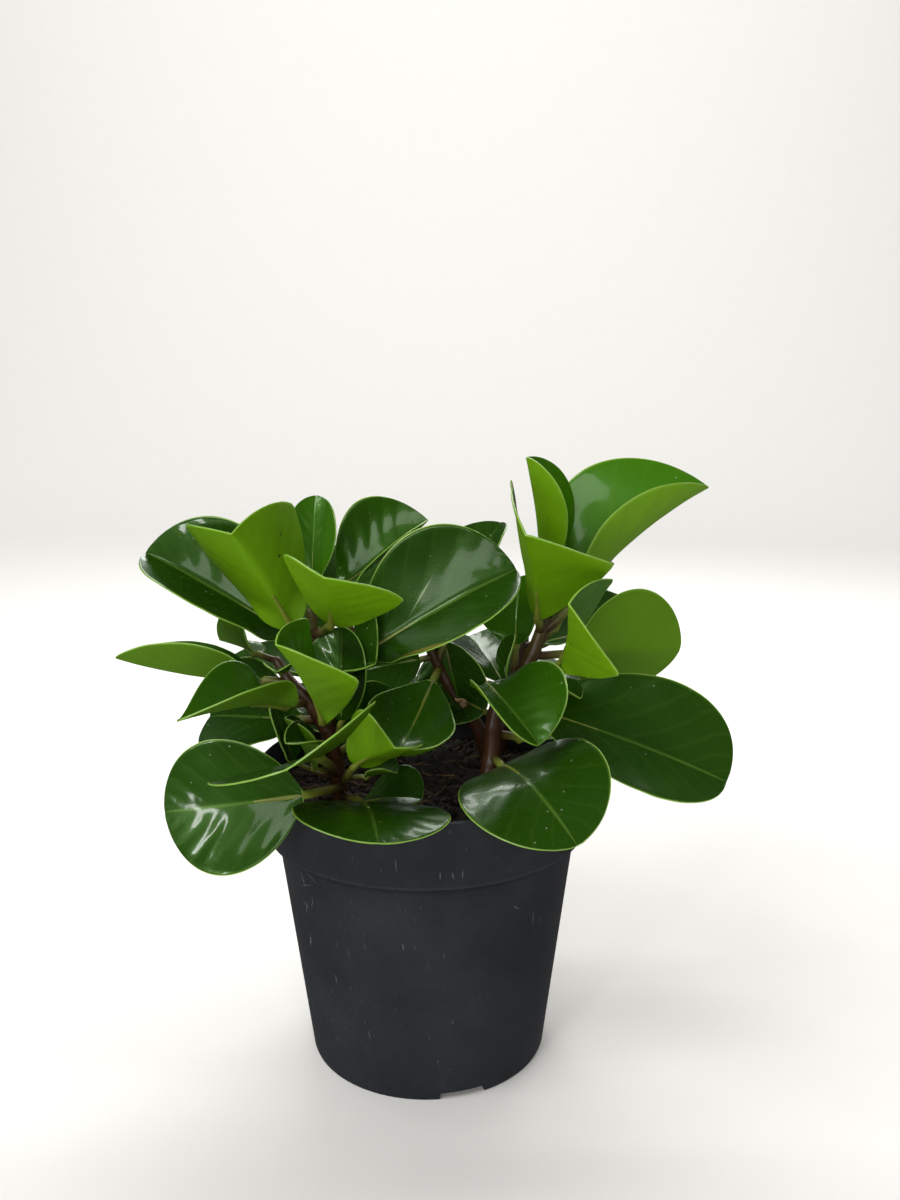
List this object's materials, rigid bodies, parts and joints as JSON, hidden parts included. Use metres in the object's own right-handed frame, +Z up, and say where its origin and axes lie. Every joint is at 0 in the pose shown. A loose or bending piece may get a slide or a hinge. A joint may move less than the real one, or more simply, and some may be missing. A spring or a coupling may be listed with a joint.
{
  "type": "potted peperomia",
  "caption": "Bushy peperomia with thick glossy spoon-shaped leaves on short reddish stems in a round plastic nursery pot.",
  "frame": {"origin": "middle of the pot's underside, on the ground under the centre pad", "axes": "+Z up, +Y away from the viewer, +X to the viewer's right"},
  "size_m": [0.2094, 0.1938, 0.2149],
  "materials": {
    "pot": "charcoal polypropylene, satin, dusty and lightly scratched",
    "soil": "dark brown peat with coarse fibres and a few bark bits",
    "stem": "fleshy reddish brown stem, satin",
    "leaf": "waxy dark green upper face with soft gloss, bright lime underside, thin pale margin",
    "dried_leaf": "dry tan papery leaf remnant"
  },
  "bodies": {
    "root": {"pot": "pot", "soil": "soil", "stem_left": "stem", "stem_right": "stem", "stem_middle": "stem", "stem_back_left": "stem", "stem_back_right": "stem", "leaf_left_1": "leaf", "leaf_left_2": "leaf", "leaf_left_3": "leaf", "leaf_left_4": "leaf", "leaf_left_5": "leaf", "leaf_left_6": "leaf", "leaf_left_7": "leaf", "leaf_left_8": "leaf", "leaf_left_9": "leaf", "leaf_left_10": "leaf", "leaf_left_11": "leaf", "leaf_left_12": "leaf", "leaf_left_13": "leaf", "leaf_left_14": "leaf", "leaf_left_15": "leaf", "leaf_left_16": "leaf", "leaf_left_17": "leaf", "leaf_left_18": "leaf", "leaf_left_19": "leaf", "leaf_right_1": "leaf", "leaf_right_2": "leaf", "leaf_right_3": "leaf", "leaf_right_4": "leaf", "leaf_right_5": "leaf", "leaf_right_6": "leaf", "leaf_right_7": "leaf", "leaf_right_8": "leaf", "leaf_right_9": "leaf", "leaf_right_10": "leaf", "leaf_right_11": "leaf", "leaf_right_12": "leaf", "leaf_right_13": "leaf", "leaf_middle_1": "leaf", "leaf_middle_2": "leaf", "leaf_middle_3": "leaf", "dried_leaf": "dried_leaf", "leaf_back_left_1": "leaf", "leaf_back_left_2": "leaf", "leaf_back_left_3": "leaf", "leaf_back_left_4": "leaf", "leaf_back_left_5": "leaf", "leaf_back_left_6": "leaf", "leaf_back_right_1": "leaf", "leaf_back_right_2": "leaf", "leaf_back_right_3": "leaf", "leaf_back_right_4": "leaf", "leaf_back_right_5": "leaf", "leaf_back_right_6": "leaf"}
  },
  "joints": []
}
